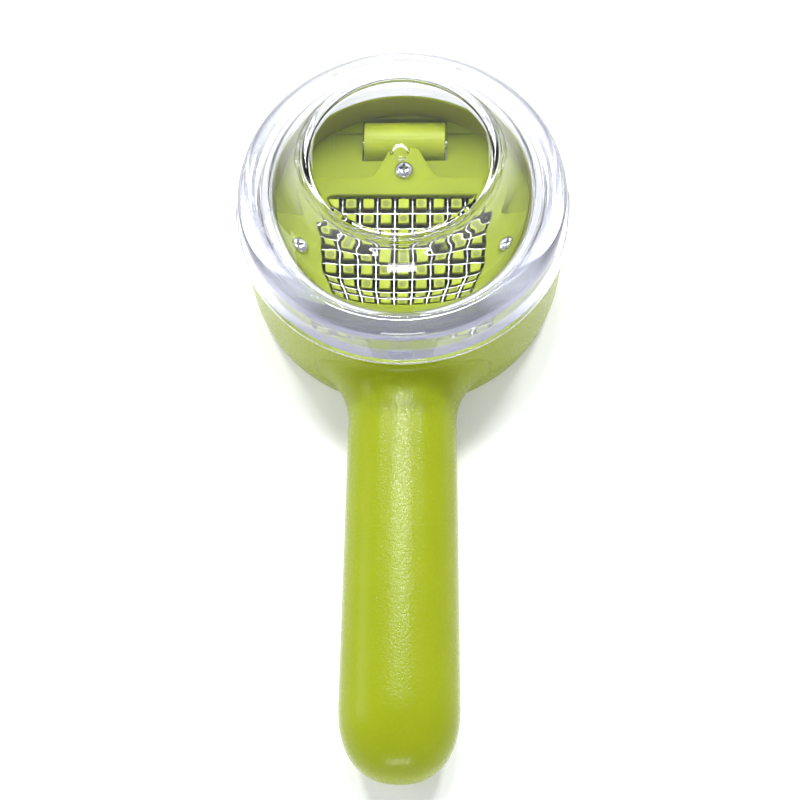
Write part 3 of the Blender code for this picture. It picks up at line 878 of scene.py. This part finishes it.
def make_floor():
    nodes = Nodes("floor")
    nodes.set(Base_Color=(0.92, 0.92, 0.91, 1.0), Roughness=0.6)
    nodes.set(Emission_Color=(1.0, 1.0, 1.0, 1.0), Emission_Strength=0.22)
    solid = bmesh.new()
    bmesh.ops.create_grid(solid, x_segments=1, y_segments=1, size=3.0)
    mesh = mesh_from("floor", solid)
    mesh.materials.append(nodes.material)
    floor = bpy.data.objects.new("floor", mesh)
    floor.location.z = -0.0002
    bpy.context.scene.collection.objects.link(floor)
    floor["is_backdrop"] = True


def add_light(name, place, size, power):
    lamp = bpy.data.lights.new(name, "AREA")
    lamp.shape = "RECTANGLE"
    lamp.size, lamp.size_y = size
    lamp.energy = power
    holder = bpy.data.objects.new(name, lamp)
    holder.location = place
    aim = Vector((0.0, HEAD_Y * MM * 0.5, 0.02)) - Vector(place)
    holder.rotation_mode = "QUATERNION"
    holder.rotation_quaternion = aim.to_track_quat("-Z", "Y")
    bpy.context.scene.collection.objects.link(holder)


def make_lights():
    """A white horizon, a sky that is bright over the far side and greyer over the handle, and the lamps."""
    world = bpy.data.worlds.new("studio")
    world.use_nodes = True
    tree = world.node_tree
    background = tree.nodes["Background"]
    split = tree.nodes.new("ShaderNodeSeparateXYZ")
    tree.links.new(tree.nodes.new("ShaderNodeTexCoord").outputs["Generated"], split.inputs["Vector"])
    sky = tree.nodes.new("ShaderNodeValToRGB")
    sky.color_ramp.elements[0].position = 0.30
    sky.color_ramp.elements[0].color = (0.27, 0.28, 0.40, 1.0)
    sky.color_ramp.elements[1].position = 0.88
    sky.color_ramp.elements[1].color = (1.0, 1.0, 1.0, 1.0)
    for position, colour in ((0.55, (0.28, 0.29, 0.40)), (0.78, (0.38, 0.39, 0.43))):
        sky.color_ramp.elements.new(position).color = (*colour, 1.0)
    across = tree.nodes.new("ShaderNodeMapRange")
    across.inputs["From Min"].default_value = -1.0
    across.inputs["From Max"].default_value = 1.0
    tree.links.new(split.outputs["Y"], across.inputs["Value"])
    tree.links.new(across.outputs["Result"], sky.inputs["Fac"])
    rise = tree.nodes.new("ShaderNodeMapRange")
    rise.inputs["From Min"].default_value = 0.10
    rise.inputs["From Max"].default_value = 0.60
    tree.links.new(split.outputs["Z"], rise.inputs["Value"])
    mixed = tree.nodes.new("ShaderNodeMix")
    mixed.data_type = "RGBA"
    mixed.inputs["A"].default_value = (1.0, 1.0, 1.0, 1.0)
    tree.links.new(sky.outputs["Color"], mixed.inputs["B"])
    tree.links.new(rise.outputs["Result"], mixed.inputs["Factor"])
    tree.links.new(mixed.outputs["Result"], background.inputs["Color"])
    background.inputs["Strength"].default_value = 0.9
    bpy.context.scene.world = world
    for lamp in LAMPS:
        add_light(*lamp)


def make_camera():
    """Above the handle end and a little to the right, tilted down steeply at the head."""
    elevation = math.radians(66.15)
    azimuth = math.radians(3.84)
    roll = math.radians(-3.5)
    distance = 0.410
    target = Vector((-0.00054, 0.00315, 0.015))
    back = Vector((
        math.sin(azimuth) * math.cos(elevation),
        -math.cos(azimuth) * math.cos(elevation),
        math.sin(elevation),
    ))
    lens = bpy.data.cameras.new("camera")
    lens.lens = 81.0
    lens.sensor_width = 36.0
    camera = bpy.data.objects.new("camera", lens)
    camera.rotation_mode = "QUATERNION"
    turn = (-back).to_track_quat("-Z", "Y").to_matrix().to_4x4() @ Matrix.Rotation(roll, 4, "Z")
    camera.rotation_quaternion = turn.to_quaternion()
    camera.location = target + back * distance
    bpy.context.scene.collection.objects.link(camera)
    bpy.context.scene.camera = camera


# ---------------------------------------------------------------- the whole


def paint(node, material):
    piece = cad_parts[node]
    piece.data.materials.clear()
    piece.data.materials.append(material)


def main():
    bpy.context.scene.view_settings.view_transform = "Standard"
    outside = lime_plastic("lime_outside", LIME_OUTSIDE, 0.060, 0.20, 0.20, grain_scale=1800.0)
    # the inner parts use a darker copy of the green: painted shade under the cap
    inside = lime_plastic("lime_inside_shaded", LIME_INSIDE_SHADED, 0.012, 0.52, 0.12)
    steel = blade_steel()
    bright = screw_steel()
    # peg sides below the blade tops are painted near black: painted shade in the gaps
    between = lime_plastic("lime_pegs", LIME_PEGS, 0.012, 0.52, 0.2, shade_below=peg_high.z - 0.3)
    clear = clear_plastic()
    # the bead's plastic carries painted reflection and shade along the tool
    bead_clear = clear_plastic("clear_bead", 0.03, 0.02, 0.75, (0.35, 0.36, 0.37))
    make_camera()
    make_cap(clear, bead_clear, bright_underside())
    make_tab(clear_plastic("clear_tab", 0.03, 0.0, 0.80))
    # the collar's darker green is painted shade
    make_head(outside, lime_plastic("lime_collar_shaded", LIME_COLLAR_SHADED, 0.012, 0.5, 0.12))
    make_upper_handle(outside)
    make_lower_handle(outside)
    make_plate(inside)
    make_blades(steel)
    # the ejector marks' darker green is painted shade
    make_pegs(between, lime_plastic("lime_marks_shaded", LIME_MARKS_SHADED, 0.012, 0.45, 0.25))
    # dark steel for the screws' cross recesses: painted shade
    dark = Nodes("painted_recess_shade")
    dark.set(Base_Color=(0.10, 0.10, 0.11, 1.0), Metallic=1.0, Roughness=0.45)
    make_screws(bright, dark.material)
    for node in ("head_deck", "grid_seat", "chamber_wall", "lower_arm", "peg_block"):
        paint(node, inside)
    # the hinge knuckle is painted a lighter green: painted light where it faces the lamps
    paint("lower_knuckle", lime_plastic("lime_knuckle_lit", LIME_KNUCKLE_LIT, 0.012, 0.42, 0.3))
    paint("blade_rim", steel)
    paint("hinge_pin", bright)
    make_floor()
    make_lights()


main()
low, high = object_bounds()
